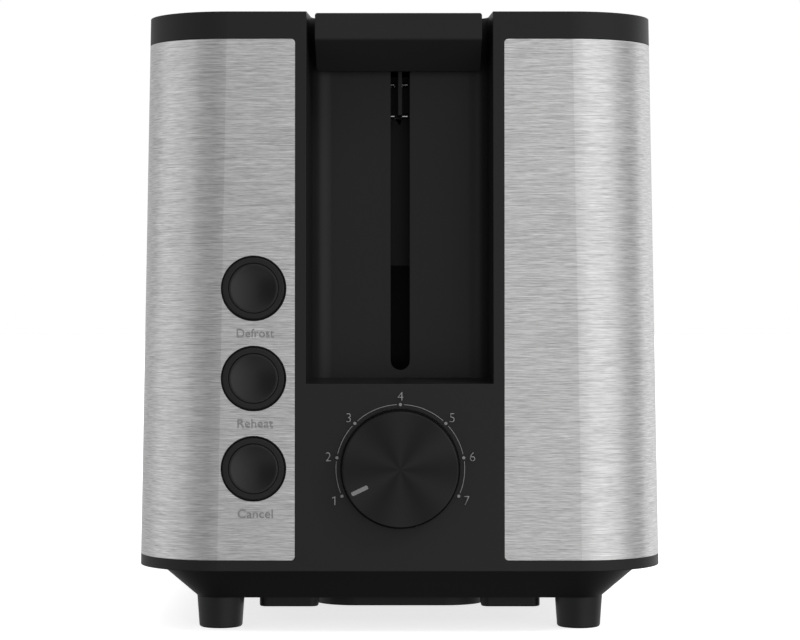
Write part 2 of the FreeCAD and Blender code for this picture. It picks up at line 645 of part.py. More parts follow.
def build_spring():
    bottom = CARRIAGE_BOTTOM + 3.0
    height = OVEN_TOP - SHEET - 3.0 - bottom
    path = Part.makeHelix(3.0, height, 3.0)
    profile = Part.Wire(Part.makeCircle(0.45, V(3.0, 0, 0), V(0, 1, 0)))
    coil = Part.Wire(path.Edges).makePipeShell([profile], True, True)
    coil.translate(V(SPRING_X, ROD_Y, bottom))
    save("carriage_spring", coil)


def build_lifters():
    for name, side in SIDES.items():
        x = side * SLOT_X
        pieces = [box(x - 0.6, x + 0.6, CARRIAGE_Y + 1.25, OVEN_REAR + 6, LIFTER_BOTTOM, LIFTER_TOP)]
        for tooth in range(8):
            y = OVEN_MIDDLE + (tooth - 3.5) * 18.0
            pieces.append(box(x - 9, x + 9, y - 0.6, y + 0.6, LIFTER_TOP - 1.6, LIFTER_TOP))
        save(name + "_bread_lifter", all_of(*pieces))


def build_latch():
    floor = OVEN_BOTTOM + SHEET + GAP
    top = CARRIAGE_BOTTOM - 2.4 - TRAVEL - 0.3
    front = CARRIAGE_Y + 1.5
    rear = ROD_Y + 3.5
    yoke = box(-11, 11, front, rear, floor, floor + 3)
    poles = [box(x - 2, x + 2, front, rear, floor, top) for x in (-9, 0, 9)]
    save("magnet_core", all_of(yoke, *poles))
    outside = rounded_box(-6.6, 6.6, front - 1.0, rear + 1.0, floor + 3.1, top - 1.0, 1.5, Z_AXIS)
    hole = box(-2.1, 2.1, front - 0.1, rear + 0.1, floor, top)
    save("magnet_coil", outside.cut(hole))
    block = box(-34, -14, front, rear, floor, floor + 9)
    blade = box(-33, -15, front + 2, rear - 2, floor + 9, floor + 11)
    save("power_switch", all_of(block, blade))


# ---------------------------------------------------------------- controls
def build_knob():
    face = FRONT - KNOB_OVERHANG
    back = front_face_y(KNOB_Z) + KNOB_SEAT_DEPTH - 0.3
    depth = back - face
    knob = Part.makeCone(KNOB_RADIUS - 0.1, KNOB_RADIUS + 0.1, depth, V(KNOB_X, face, KNOB_Z), Y_AXIS)
    knob = knob.makeFillet(KNOB_EDGE, circles_at(knob, face))
    half_length = POINTER_LENGTH / 2
    half_width = POINTER_WIDTH / 2
    pointer = rounded_box(-half_length, half_length, face - 1, face + POINTER_DEPTH,
                          -half_width, half_width, POINTER_CORNER, Y_AXIS)
    pointer.rotate(V(0, 0, 0), V(0, -1, 0), POINTER_TURN)
    angle = math.radians(POINTER_ANGLE)
    pointer.translate(V(KNOB_X + math.cos(angle) * POINTER_REACH, 0, KNOB_Z + math.sin(angle) * POINTER_REACH))
    knob = knob.cut(pointer)
    hollow = cylinder_y(KNOB_X, KNOB_Z, KNOB_RADIUS - 2.2, face + 2.4, back + 1)
    hollow = hollow.cut(cylinder_y(KNOB_X, KNOB_Z, 5.2, face, back + 2))
    knob = knob.cut(hollow)
    knob = knob.cut(cylinder_y(KNOB_X, KNOB_Z, SHAFT_RADIUS + 0.02, face + 2.4, back + 1))
    save("browning_knob", knob)
    save("knob_shaft", cylinder_y(KNOB_X, KNOB_Z, SHAFT_RADIUS, face + 2.5, BOARD_Y - 1.5))
    body = cylinder_y(KNOB_X, KNOB_Z, 8.5, FRONT + WALL + 2.5, BOARD_Y - GAP)
    neck = cylinder_y(KNOB_X, KNOB_Z, 4.0, FRONT + WALL - 1.5, FRONT + WALL + 3)
    bore = cylinder_y(KNOB_X, KNOB_Z, SHAFT_RADIUS + RUNNING_FIT, FRONT, BOARD_Y - 1.2)
    save("potentiometer", all_of(body, neck).cut(bore))


def build_buttons():
    switches = []
    stem_end = BOARD_Y - 4.0 - 1.2 - BUTTON_TRAVEL - 0.1
    for name, z in BUTTON_HEIGHTS.items():
        surface = front_face_y(z)
        face = surface - COLLAR_HEIGHT + 0.1
        cap = cylinder_y(BUTTON_X, z, BUTTON_RADIUS, face, surface + WALL + 0.6)
        dish_radius = BUTTON_RADIUS - DISH_MARGIN
        ball = (dish_radius ** 2 + DISH_DEPTH ** 2) / (2 * DISH_DEPTH)
        cap = cap.cut(Part.makeSphere(ball, V(BUTTON_X, face + DISH_DEPTH - ball, z)))
        outer_rim = [edge for edge in circles_at(cap, face) if edge.BoundBox.XLength > 2 * BUTTON_RADIUS - 0.2]
        cap = cap.makeFillet(BUTTON_EDGE, outer_rim)
        flange = cylinder_y(BUTTON_X, z, BUTTON_BORE + 1.2, surface + WALL + 0.4, surface + WALL + 1.6)
        stem = cylinder_y(BUTTON_X, z, 2.6, surface + 2, stem_end)
        save(name, all_of(cap, flange, stem))
        body = box(BUTTON_X - 3, BUTTON_X + 3, BOARD_Y - 4, BOARD_Y - GAP, z - 3, z + 3)
        plunger = cylinder_y(BUTTON_X, z, 1.7, BOARD_Y - 5.2, BOARD_Y - 3)
        switches.append(all_of(body, plunger))
    save("tact_switches", *switches)


def build_board():
    tall = box(-59, -35.5, BOARD_Y, BOARD_Y + BOARD_THICKNESS, 38, 121)
    wide = box(-59, 22, BOARD_Y, BOARD_Y + BOARD_THICKNESS, 38, 72)
    board = all_of(tall, wide)
    screws = []
    for x, z in BOARD_POSTS:
        board = board.cut(cylinder_y(x, z, 1.2, BOARD_Y - 1, BOARD_Y + 3))
        head = V(x, BOARD_Y + BOARD_THICKNESS + 1.5, z)
        screws.append(cross_recess_screw(head, V(0, -1, 0), 2.2, 1.4, 1.0, 6.0))
    save("control_board", board)
    save("board_screws", *screws)


# ---------------------------------------------------------------- mains entry
def build_mains_entry():
    skin = REAR - DRAFT * (GLAND_Z - RIM_BOTTOM)
    inner = skin - WALL
    sleeve = cylinder_y(0, GLAND_Z, GLAND_RADIUS, inner - 5, skin + 0.2)
    flange = cylinder_y(0, GLAND_Z, GLAND_RADIUS + 1.5, inner - 5, inner - 0.3)
    gland = all_of(sleeve, flange).cut(cylinder_y(0, GLAND_Z, GLAND_BORE, inner - 10, REAR + 5))
    save("cord_gland", gland)
    y0 = OVEN_REAR + SHEET + GAP
    block = box(33, 57, y0, y0 + 16, 60, 74)
    for x in TERMINALS:
        block = block.cut(cylinder_y(x, TERMINAL_Z, 2.5, y0 + 4, y0 + 20))
    save("terminal_block", block)


def round_path(points, radius):
    """Straight runs through the points, joined by tangent arcs."""
    edges = []
    last = points[0]
    for before, corner, after in zip(points, points[1:], points[2:]):
        way_in = (corner - before).normalize()
        way_out = (after - corner).normalize()
        half_turn = way_in.getAngle(way_out) / 2
        reach = radius * math.tan(half_turn)
        start = corner - way_in * reach
        end = corner + way_out * reach
        inward = (way_out - way_in).normalize()
        middle = corner + inward * (radius / math.cos(half_turn) - radius)
        edges.append(Part.LineSegment(last, start).toShape())
        edges.append(Part.Arc(start, middle, end).toShape())
        last = end
    edges.append(Part.LineSegment(last, points[-1]).toShape())
    return Part.Wire(edges)


def build_leads():
    """Two insulated leads from the terminal block, round the oven, to the mains switch."""
    leads = []
    y_block = OVEN_REAR + SHEET + GAP + 16
    for number, x in enumerate(TERMINALS):
        drop = 4.0 * number
        points = [
            V(x, y_block - 10, TERMINAL_Z), V(x, y_block + 10 + drop, TERMINAL_Z),
            V(68 + drop / 2, y_block + 10 + drop, 58), V(68 + drop / 2, -88 - drop, 58),
            V(50, -106 - drop, 33), V(-18 - 2 * drop, -106 - drop, 30), V(-18 - 2 * drop, CARRIAGE_Y + 1.4, 30)]
        path = round_path(points, 5.0)
        circle = Part.makeCircle(LEAD_RADIUS, points[0], Y_AXIS)
        leads.append(path.makePipeShell([Part.Wire(circle)], True, False))
    save("internal_leads", *leads)


build_housings()
build_covers()
build_deck()
build_base_pan()
build_feet()
build_base_screws()
build_crumb_tray()
build_bulkheads()
build_reflectors()
build_heaters()
build_bread_guides()
build_lever()
build_carriage()
build_spring()
build_lifters()
build_latch()
build_knob()
build_buttons()
build_board()
build_mains_entry()
build_leads()
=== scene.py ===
import json
import math

import bmesh
import bpy
from mathutils import Matrix, Vector


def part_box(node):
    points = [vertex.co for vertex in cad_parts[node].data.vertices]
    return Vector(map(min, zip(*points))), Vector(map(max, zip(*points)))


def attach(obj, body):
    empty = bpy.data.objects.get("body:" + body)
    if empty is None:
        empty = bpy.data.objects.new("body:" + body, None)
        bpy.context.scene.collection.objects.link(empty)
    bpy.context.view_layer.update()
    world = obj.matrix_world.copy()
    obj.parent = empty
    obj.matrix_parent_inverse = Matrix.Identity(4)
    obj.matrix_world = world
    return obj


# Finishes for the toaster's CAD nodes, the printed marks on its control end, and the studio round it.
# The control end faces -Y, Z is up, and lengths are in metres.
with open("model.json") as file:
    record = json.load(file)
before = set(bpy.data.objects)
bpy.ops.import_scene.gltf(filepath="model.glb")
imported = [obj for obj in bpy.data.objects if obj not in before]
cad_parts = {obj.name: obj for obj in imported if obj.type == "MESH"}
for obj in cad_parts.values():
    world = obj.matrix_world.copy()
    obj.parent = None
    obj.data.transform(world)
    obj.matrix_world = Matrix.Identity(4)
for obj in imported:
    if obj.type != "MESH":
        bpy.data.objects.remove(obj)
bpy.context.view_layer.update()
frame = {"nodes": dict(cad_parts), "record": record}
nodes = frame["nodes"]
MM = 0.001

# ---------------------------------------------------------------- places read from the frame
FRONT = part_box("front_housing")[0].y
RIM_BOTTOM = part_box("front_housing")[0].z
knob_low, knob_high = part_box("browning_knob")
KNOB = Vector(((knob_low.x + knob_high.x) / 2, knob_low.y, (knob_low.z + knob_high.z) / 2))
KNOB_RADIUS = (knob_high.x - knob_low.x) / 2
LEAN = math.atan(3.0 / 179.0)          # the end faces lean back 3 mm over the 179 mm of the body's draft


def face_y(z):
    """Y of the control end's skin at a height."""
    return FRONT + math.tan(LEAN) * (z - RIM_BOTTOM)


# ---------------------------------------------------------------- camera
CAMERA_DISTANCE = 0.7796               # in front of the control end
CAMERA_HEIGHT = 0.1085
SENSOR_WIDTH = 36.0                    # mm
FOCAL_LENGTH = 110.08                  # mm
LENS_SHIFT = (0.00034, -0.0286)        # the level line of sight runs a little above the picture's middle


def make_camera():
    data = bpy.data.cameras.new("camera")
    camera = bpy.data.objects.new("camera", data)
    bpy.context.scene.collection.objects.link(camera)
    camera.location = (0, FRONT - CAMERA_DISTANCE, CAMERA_HEIGHT)
    camera.rotation_euler = (math.radians(90), 0, 0)
    data.sensor_width = SENSOR_WIDTH
    data.lens = FOCAL_LENGTH
    data.shift_x, data.shift_y = LENS_SHIFT
    data.clip_start = 0.05
    data.clip_end = 30.0
    bpy.context.scene.camera = camera


# ---------------------------------------------------------------- material helpers
class Material:
    """A node material with one Principled shader and short ways to add to it."""

    def __init__(self, name, colour, roughness, metallic=0.0, **sockets):
        self.material = bpy.data.materials.new(name)
        self.material.use_nodes = True
        self.tree = self.material.node_tree
        self.shader = self.tree.nodes["Principled BSDF"]
        self.shader.inputs["Base Color"].default_value = (*colour, 1)
        self.shader.inputs["Roughness"].default_value = roughness
        self.shader.inputs["Metallic"].default_value = metallic
        for socket, value in sockets.items():
            self.shader.inputs[socket.replace("_", " ")].default_value = value

    def node(self, kind, **settings):
        made = self.tree.nodes.new(kind)
        for name, value in settings.items():
            setattr(made, name, value)
        return made

    def link(self, source, target):
        self.tree.links.new(source, target)

    def position(self, scale=(1, 1, 1)):
        """The point on the surface in the object's own frame, stretched by scale."""
        coordinates = self.node("ShaderNodeTexCoord")
        mapping = self.node("ShaderNodeMapping")
        mapping.inputs["Scale"].default_value = scale
        self.link(coordinates.outputs["Object"], mapping.inputs["Vector"])
        return mapping.outputs["Vector"]

    def noise(self, vector, scale, detail=2.0, roughness=0.5):
        texture = self.node("ShaderNodeTexNoise")
        texture.inputs["Scale"].default_value = scale
        texture.inputs["Detail"].default_value = detail
        texture.inputs["Roughness"].default_value = roughness
        self.link(vector, texture.inputs["Vector"])
        return texture.outputs["Fac"]

    def spread(self, value, low, high, from_low=0.3, from_high=0.7):
        """Maps a 0..1 pattern to the range low..high."""
        mapped = self.node("ShaderNodeMapRange")
        mapped.inputs["From Min"].default_value = from_low
        mapped.inputs["From Max"].default_value = from_high
        mapped.inputs["To Min"].default_value = low
        mapped.inputs["To Max"].default_value = high
        self.link(value, mapped.inputs["Value"])
        return mapped.outputs["Result"]

    def maths(self, operation, first, second):
        node = self.node("ShaderNodeMath", operation=operation)
        for socket, value in zip(node.inputs, (first, second)):
            if isinstance(value, (int, float)):
                socket.default_value = value
            else:
                self.link(value, socket)
        return node.outputs[0]

    def blend_colour(self, factor, first, second):
        mix = self.node("ShaderNodeMix", data_type="RGBA")
        self.link(factor, mix.inputs["Factor"])
        mix.inputs["A"].default_value = (*first, 1)
        mix.inputs["B"].default_value = (*second, 1)
        return mix.outputs["Result"]

    def colour(self, socket):
        self.link(socket, self.shader.inputs["Base Color"])

    def rough(self, socket):
        self.link(socket, self.shader.inputs["Roughness"])

    def bump(self, height, strength, distance, edge=0.0):
        """Fine relief from a height pattern, over edges eased by the radius given."""
        bump = self.node("ShaderNodeBump")
        bump.inputs["Strength"].default_value = strength
        bump.inputs["Distance"].default_value = distance
        self.link(height, bump.inputs["Height"])
        if edge:
            bevel = self.node("ShaderNodeBevel", samples=4)
            bevel.inputs["Radius"].default_value = edge
            self.link(bevel.outputs["Normal"], bump.inputs["Normal"])
        self.link(bump.outputs["Normal"], self.shader.inputs["Normal"])
        self.relief = bump


def grey(value):
    """A neutral grey with a trace of blue."""
    return (value, value, value * 1.01)


def shades(colour, contrast):
    """The colour made darker and lighter by a share of itself."""
    return tuple(c * (1 - contrast) for c in colour), tuple(min(1, c * (1 + contrast)) for c in colour)


def moulded_plastic(name, value, roughness, grain=0.0006, edge=0.0004, **sockets):
    """Moulded plastic with a fine spark-eroded grain and slow cloudy sheen changes."""
    made = Material(name, grey(value), roughness, **{"IOR": 1.32, **sockets})
    place = made.position()
    cloud = made.noise(place, 18, 3)
    tone = made.spread(cloud, 0, 1)
    made.colour(made.blend_colour(tone, grey(value * 0.94), grey(value * 1.06)))
    made.rough(made.spread(cloud, roughness - 0.03, roughness + 0.03))
    made.bump(made.noise(place, 1 / grain, 3, 0.6), 0.10, 0.00004, edge)
    return made.material


def brushed_steel():
    """Steel brushed along the horizontal: thin streaks in tone, gloss and relief.
    Its reflections run out across the brush lines, so up and down."""
    made = Material("brushed_steel", (0.68, 0.68, 0.68), 0.34, 1.0, Anisotropic=0.85, Anisotropic_Rotation=0.25)

    def streaks(along, across):
        """Brush lines, by their number per metre along the brush and across it."""
        return made.noise(made.position((along, along, across)), 1.0, 1, 0.5)

    def spread(pattern, low, high):
        return made.spread(pattern, low, high, 0.32, 0.68)

    fine = streaks(160, 5400)
    short = streaks(380, 5000)
    long = streaks(50, 4300)
    sway = streaks(240, 4600)
    rest = made.maths("ADD", made.maths("MULTIPLY", short, 0.25), made.maths("MULTIPLY", long, 0.25))
    lines = made.maths("ADD", made.maths("MULTIPLY", fine, 0.5), rest)
    made.colour(made.blend_colour(spread(lines, 0, 1), (0.42, 0.42, 0.42), (0.93, 0.93, 0.93)))
    made.rough(spread(lines, 0.31, 0.37))
    tangent = made.node("ShaderNodeTangent", direction_type="RADIAL", axis="Z")
    made.link(tangent.outputs["Tangent"], made.shader.inputs["Tangent"])
    made.bump(made.maths("ADD", fine, made.maths("MULTIPLY", short, 1.2)), 0.75, 0.00005)
    # each brush line also leans a little along the brush, which scatters the light on the corners
    lean = made.node("ShaderNodeVectorMath", operation="SCALE")
    made.link(tangent.outputs["Tangent"], lean.inputs[0])
    made.link(spread(sway, -0.02, 0.02), lean.inputs["Scale"])
    skin = made.node("ShaderNodeNewGeometry")
    leaning = made.node("ShaderNodeVectorMath", operation="ADD")
    made.link(skin.outputs["Normal"], leaning.inputs[0])
    made.link(lean.outputs[0], leaning.inputs[1])
    level = made.node("ShaderNodeVectorMath", operation="NORMALIZE")
    made.link(leaning.outputs[0], level.inputs[0])
    made.link(level.outputs[0], made.relief.inputs["Normal"])
    return made.material


def turned_metal():
    """The knob's face: dark metal turned in fine circles. The lighter and darker wedges that such turning
    throws back from the lights are painted into its colour as sectors, a painted reflection, and its tone rises
    a little towards the rim.
    """
    metal = 0.0268
    painted_sector_count = 6
    grooves_per_metre = 9000
    made = Material("knob_metal", grey(metal), 0.32, 1.0, Anisotropic=0.5, Anisotropic_Rotation=0.25)
    coordinates = made.node("ShaderNodeTexCoord")
    apart = made.node("ShaderNodeSeparateXYZ")
    made.link(coordinates.outputs["Object"], apart.inputs[0])
    across = made.maths("SUBTRACT", apart.outputs["X"], KNOB.x)
    up = made.maths("SUBTRACT", apart.outputs["Z"], KNOB.z)
    square = made.maths("ADD", made.maths("MULTIPLY", across, across), made.maths("MULTIPLY", up, up))
    radius = made.maths("SQRT", square, 0.0)
    turned = made.maths("ARCTAN2", across, up)
    # painted reflection: lighter and darker sectors round the knob's axis, painted into the colour
    painted_sheen_sectors = made.maths("COSINE", made.maths("MULTIPLY", turned, painted_sector_count), 0.0)
    outwards = made.spread(radius, 0.0, 1.0, 0.0, KNOB_RADIUS)
    tone = made.maths("MULTIPLY", made.spread(painted_sheen_sectors, 0.85, 1.15, -1, 1),
                      made.spread(outwards, 0.93, 1.06, 0, 1))
    rings = made.node("ShaderNodeCombineXYZ")
    made.link(made.maths("MULTIPLY", radius, grooves_per_metre), rings.inputs[0])
    groove = made.noise(rings.outputs[0], 1.0, 2)
    tone = made.maths("MULTIPLY", tone, made.spread(groove, 0.92, 1.08))
    made.colour(made.blend_colour(made.spread(tone, 0, 1, 0.6, 1.4), grey(metal * 0.6), grey(metal * 1.4)))
    made.rough(made.spread(groove, 0.26, 0.38))
    made.bump(groove, 0.12, 0.00003, 0.0002)
    tangent = made.node("ShaderNodeTangent", direction_type="RADIAL", axis="Y")
    made.link(tangent.outputs["Tangent"], made.shader.inputs["Tangent"])
    return made.material


def sheet_metal(name, colour, roughness, spangle=60.0, contrast=0.12):
    """Plated sheet with faint crystals and handling marks."""
    made = Material(name, colour, roughness, 1.0)
    place = made.position()
    crystals = made.node("ShaderNodeTexVoronoi")
    crystals.inputs["Scale"].default_value = spangle
    made.link(place, crystals.inputs["Vector"])
    mottled = made.maths("ADD", made.maths("MULTIPLY", crystals.outputs["Distance"], 0.6),
                         made.maths("MULTIPLY", made.noise(place, 140, 3), 0.5))
    made.colour(made.blend_colour(made.spread(mottled, 0, 1, 0.2, 0.8), *shades(colour, contrast)))
    made.rough(made.spread(mottled, roughness - 0.06, roughness + 0.08, 0.2, 0.8))
    made.bump(made.noise(place, 900, 2), 0.05, 0.00005, 0.0002)
    return made.material


def coated(name, colour, roughness, scale=400.0, contrast=0.15, metallic=0.0, strength=0.1):
    """A plain part with the small uneven tone and relief of its stuff."""
    made = Material(name, colour, roughness, metallic)
    place = made.position()
    pattern = made.noise(place, scale, 4, 0.6)
    made.colour(made.blend_colour(made.spread(pattern, 0, 1), *shades(colour, contrast)))
    made.rough(made.spread(pattern, roughness - 0.05, roughness + 0.05))
    made.bump(pattern, strength, 0.0001, 0.0002)
    return made.material


def printed_ink(name, value):
    """Pad-printed ink, a little uneven."""
    made = Material(name, grey(value), 0.55)
    speck = made.noise(made.position(), 3000, 2)
    made.colour(made.blend_colour(made.spread(speck, 0, 1), grey(value * 0.93), grey(value * 1.05)))
    return made.material


def banded(name, colour, roughness, axis_scale):
    """Wound wire: fine bands across one axis."""
    made = Material(name, colour, roughness, 1.0)
    bands = made.noise(made.position(axis_scale), 1.0, 2)
    made.colour(made.blend_colour(made.spread(bands, 0, 1), shades(colour, 0.2)[0], colour))
    made.bump(bands, 0.3, 0.0001)
    return made.material


# ---------------------------------------------------------------- finish of the CAD nodes
def dress_nodes():
    finishes = {
        "black_plastic": moulded_plastic("black_plastic", 0.0095, 0.42),
        "deck_plastic": moulded_plastic("deck_plastic", 0.0095, 0.42),
        "base_plastic": moulded_plastic("base_plastic", 0.0085, 0.44),
        # painted light: the lever's plastic is a lighter, almost unreflecting copy of the black plastic, which
        # lifts the lever's shaded underside
        "lever_plastic": moulded_plastic("lever_plastic", 0.0225, 0.5, IOR=1.04),
        "control_plastic": moulded_plastic("control_plastic", 0.003, 0.24, IOR=1.46),
        "component_plastic": moulded_plastic("component_plastic", 0.03, 0.5),
        "brushed_steel": brushed_steel(),
        "knob_metal": turned_metal(),
        "foot_rubber": moulded_plastic("foot_rubber", 0.0115, 0.42),
        "gland_rubber": moulded_plastic("gland_rubber", 0.02, 0.6),
        "zinc_screw": coated("zinc_screw", (0.42, 0.42, 0.40), 0.35, metallic=1.0),
        # painted shade: the sheet seen deep through the lever slot is made black and matt, standing in for the
        # shade inside the slot
        "black_sheet": moulded_plastic("black_sheet", 0.013, 0.62, 0.002, 0.0002, IOR=1.28),
        "galvanised_sheet": sheet_metal("galvanised_sheet", (0.50, 0.51, 0.52), 0.42),
        "aluminised_sheet": sheet_metal("aluminised_sheet", (0.60, 0.60, 0.59), 0.32, 25.0, 0.06),
        "bright_steel": coated("bright_steel", (0.62, 0.62, 0.62), 0.22, 900, 0.08, 1.0),
        "wire_chrome": coated("wire_chrome", (0.66, 0.66, 0.66), 0.16, 900, 0.06, 1.0),
        "mica": coated("mica", (0.46, 0.42, 0.34), 0.35, 120, 0.25),
        "resistance_ribbon": coated("resistance_ribbon", (0.30, 0.28, 0.26), 0.45, 300, 0.2, 1.0),
        "coil_copper": banded("coil_copper", (0.62, 0.30, 0.16), 0.3, (50, 50, 3000)),
        "circuit_board": coated("circuit_board", (0.05, 0.20, 0.09), 0.3, 250, 0.2),
        "lead_insulation": coated("lead_insulation", (0.55, 0.53, 0.50), 0.7, 2500, 0.2, 0.0, 0.4),
    }
    for part in frame["record"]["subparts"]:
        node = nodes[part["node"]]
        node.data.materials.clear()
        node.data.materials.append(finishes[part["material_slot"]])


# ---------------------------------------------------------------- printed marks
INK_DEPTH = 0.03 * MM
INK_PROUD = 0.02 * MM                  # the ink's back stands this far off the skin, so the two never coincide


def finished_mesh(name, builder):
    mesh = bpy.data.meshes.new(name)
    builder.to_mesh(mesh)
    builder.free()
    return mesh


def mesh_object(name, mesh, body, material):
    """An object for the mesh, with its material, riding on a body and filling a slot."""
    made = bpy.data.objects.new(name, mesh)
    bpy.context.scene.collection.objects.link(made)
    made.data.materials.clear()
    made.data.materials.append(material)
    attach(made, body)
    return made


def on_face(x, z):
    """Turns flat artwork drawn in X and Y into artwork standing on the leaning front face."""
    return Matrix.Translation((x, face_y(z) - INK_PROUD, z)) @ Matrix.Rotation(math.radians(90) - LEAN, 4, "X")


def around(angle, radius):
    """The point in X and Y at an angle in degrees and a radius."""
    turned = math.radians(angle)
    return Vector((math.cos(turned), math.sin(turned), 0)) * radius


def text_mesh(name, words, height, width=None, weight=0.0):
    """Flat lettering in the built-in font, centred on its own middle. Height is that of a capital, and weight
    fattens the strokes, or thins them below 0."""
    curve = bpy.data.curves.new(name, "FONT")
    curve.body = words
    curve.align_x = "CENTER"
    curve.resolution_u = 6
    curve.offset = weight
    holder = bpy.data.objects.new(name, curve)
    bpy.context.scene.collection.objects.link(holder)
    bpy.context.view_layer.update()
    drawn = holder.evaluated_get(bpy.context.evaluated_depsgraph_get())
    mesh = bpy.data.meshes.new_from_object(drawn)
    bpy.data.objects.remove(holder)
    xs = [v.co.x for v in mesh.vertices]
    ys = [v.co.y for v in mesh.vertices]
    scale_y = height / (max(ys) - min(ys))
    scale_x = width / (max(xs) - min(xs)) if width else scale_y
    middle_x = (max(xs) + min(xs)) / 2
    middle_y = (max(ys) + min(ys)) / 2
    for vertex in mesh.vertices:
        vertex.co = Vector(((vertex.co.x - middle_x) * scale_x, (vertex.co.y - middle_y) * scale_y, 0))
    return mesh


def thicken(mesh, depth):
    """Gives flat artwork a small thickness towards +Z."""
    builder = bmesh.new()
    builder.from_mesh(mesh)
    made = bmesh.ops.extrude_face_region(builder, geom=builder.faces[:])
    for element in made["geom"]:
        if isinstance(element, bmesh.types.BMVert):
            element.co.z += depth
    bmesh.ops.recalc_face_normals(builder, faces=builder.faces[:])
    builder.to_mesh(mesh)
    builder.free()


def ring_piece(builder, inner, outer, start, end, steps=24):
    """A flat curved strip between two angles, in degrees."""
    rows = []
    for step in range(steps + 1):
        angle = start + (end - start) * step / steps
        rows.append((builder.verts.new(around(angle, inner)), builder.verts.new(around(angle, outer))))
    for (a, b), (c, d) in zip(rows, rows[1:]):
        builder.faces.new((a, b, d, c))


def disc_piece(builder, centre, radius, steps=20):
    builder.faces.new([builder.verts.new(centre + around(360 * step / steps, radius)) for step in range(steps)])


def figure_one(height):
    """A plain figure 1 with its flag."""
    outline = ((0.16, 0.5), (0.16, -0.5), (0.03, -0.5), (0.03, 0.30), (-0.22, 0.21), (-0.22, 0.33))
    builder = bmesh.new()
    builder.faces.new([builder.verts.new((x * height, y * height, 0)) for x, y in reversed(outline)])
    return finished_mesh("figure_one", builder)


# The dial round the knob: dots joined by a thin line, with the numbers outside them.
DIAL_ANGLES = (205.0, 170.0, 135.0, 90.0, 45.0, 10.0, -25.0)
DIAL_RADIUS = 20.53 * MM
DOT_RADIUS = 0.5 * MM
LINE_HALF_WIDTH = 0.095 * MM
LINE_GAP = 3.2                         # degrees from a dot's middle to the line's end
NUMBER_HEIGHT = 2.85 * MM
NUMBER_REACH = DIAL_RADIUS + 2.82 * MM
NUMBER_DROP = 0.2 * MM


def build_dial():
    ink = printed_ink("dial_ink", 0.19)
    builder = bmesh.new()
    for angle, after in zip(DIAL_ANGLES, DIAL_ANGLES[1:]):
        ring_piece(builder, DIAL_RADIUS - LINE_HALF_WIDTH, DIAL_RADIUS + LINE_HALF_WIDTH,
                   angle - LINE_GAP, after + LINE_GAP)
    for angle in DIAL_ANGLES:
        disc_piece(builder, around(angle, DIAL_RADIUS), DOT_RADIUS)
    mesh = finished_mesh("dial_scale", builder)
    thicken(mesh, INK_DEPTH)
    mesh.transform(on_face(KNOB.x, KNOB.z))
    mesh_object("dial_scale", mesh, "housing", ink)
    for number, angle in enumerate(DIAL_ANGLES, 1):
        out = around(angle, NUMBER_REACH)
        if number == 1:
            mesh = figure_one(NUMBER_HEIGHT)
        else:
            mesh = text_mesh("dial_number", str(number), NUMBER_HEIGHT, weight=-0.012)
        thicken(mesh, INK_DEPTH)
        mesh.transform(on_face(KNOB.x + out.x, KNOB.z + out.y - NUMBER_DROP))
        mesh_object("dial_number_%d" % number, mesh, "housing", ink)


# The words under the buttons, with their widths in mm.
LABELS = (("defrost_button", "Defrost", 11.9), ("reheat_button", "Reheat", 11.4),
          ("cancel_button", "Cancel", 11.2))
LABEL_HEIGHT = 2.7 * MM
LABEL_DROP = 14.3 * MM                 # from the button's middle down to the word's
LABEL_SHIFT = 0.6 * MM


def build_labels():
    ink = printed_ink("label_ink", 0.19)
    for node, words, width in LABELS:
        low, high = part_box(node)
        name = words.lower() + "_label"
        mesh = text_mesh(name, words, LABEL_HEIGHT, width * MM)
        thicken(mesh, INK_DEPTH)
        mesh.transform(on_face((low.x + high.x) / 2 + LABEL_SHIFT, (low.z + high.z) / 2 - LABEL_DROP))
        mesh_object(name, mesh, "housing", ink)


POINTER_ANGLE = 207.2                  # where the pointer sits on the face
POINTER_TURN = 205.5                   # how it is turned there
POINTER_REACH = 14.5 * MM              # from the knob's axis to its middle
POINTER_SUNK = 0.23 * MM               # its back below the face, just off the floor of its groove
POINTER_DEPTH = 0.2 * MM


def build_pointer():
    """The knob's pointer: a slim painted bar with eased corners, lying in the groove in the face."""
    half_length = 2.83 * MM
    half_width = 0.66 * MM
    corner = 0.36 * MM
    builder = bmesh.new()
    outline = []
    for quarter, (side_x, side_y) in enumerate(((1, 1), (-1, 1), (-1, -1), (1, -1))):
        middle = Vector((side_x * (half_length - corner), side_y * (half_width - corner), 0))
        for step in range(7):
            outline.append(builder.verts.new(middle + around(90 * quarter + 15 * step, corner)))
    builder.faces.new(outline)
    mesh = finished_mesh("knob_pointer", builder)
    thicken(mesh, POINTER_DEPTH)
    out = around(POINTER_ANGLE, POINTER_REACH)
    place = Matrix.Translation((KNOB.x + out.x, KNOB.y + POINTER_SUNK, KNOB.z + out.y))
    turn = Matrix.Rotation(math.radians(POINTER_TURN), 4, "Z")
    mesh.transform(place @ Matrix.Rotation(math.radians(90), 4, "X") @ turn)
    paint = printed_ink("pointer_paint", 0.16)
    mesh_object("knob_pointer", mesh, "browning_control", paint)


# ---------------------------------------------------------------- stage and light
def build_stage():
    """A plain pale floor, unseen by reflections, so the studio lights the object alone."""
    half = 6.0
    builder = bmesh.new()
    for x, y in ((-half, -half), (half, -half), (half, half), (-half, half)):
        builder.verts.new((x, y, 0))
    builder.faces.new(builder.verts[:])
    floor = bpy.data.objects.new("floor", finished_mesh("floor", builder))
    bpy.context.scene.collection.objects.link(floor)
    pale = Material("floor_pale", (0.80, 0.80, 0.80), 0.7,
                    Emission_Color=(1, 1, 1, 1), Emission_Strength=0.75)
    shade = pale.noise(pale.position(), 3.0, 2)
    pale.colour(pale.blend_colour(pale.spread(shade, 0, 1), (0.79, 0.79, 0.79), (0.81, 0.81, 0.81)))
    floor.data.materials.append(pale.material)
    floor.visible_glossy = False
    floor.visible_diffuse = False


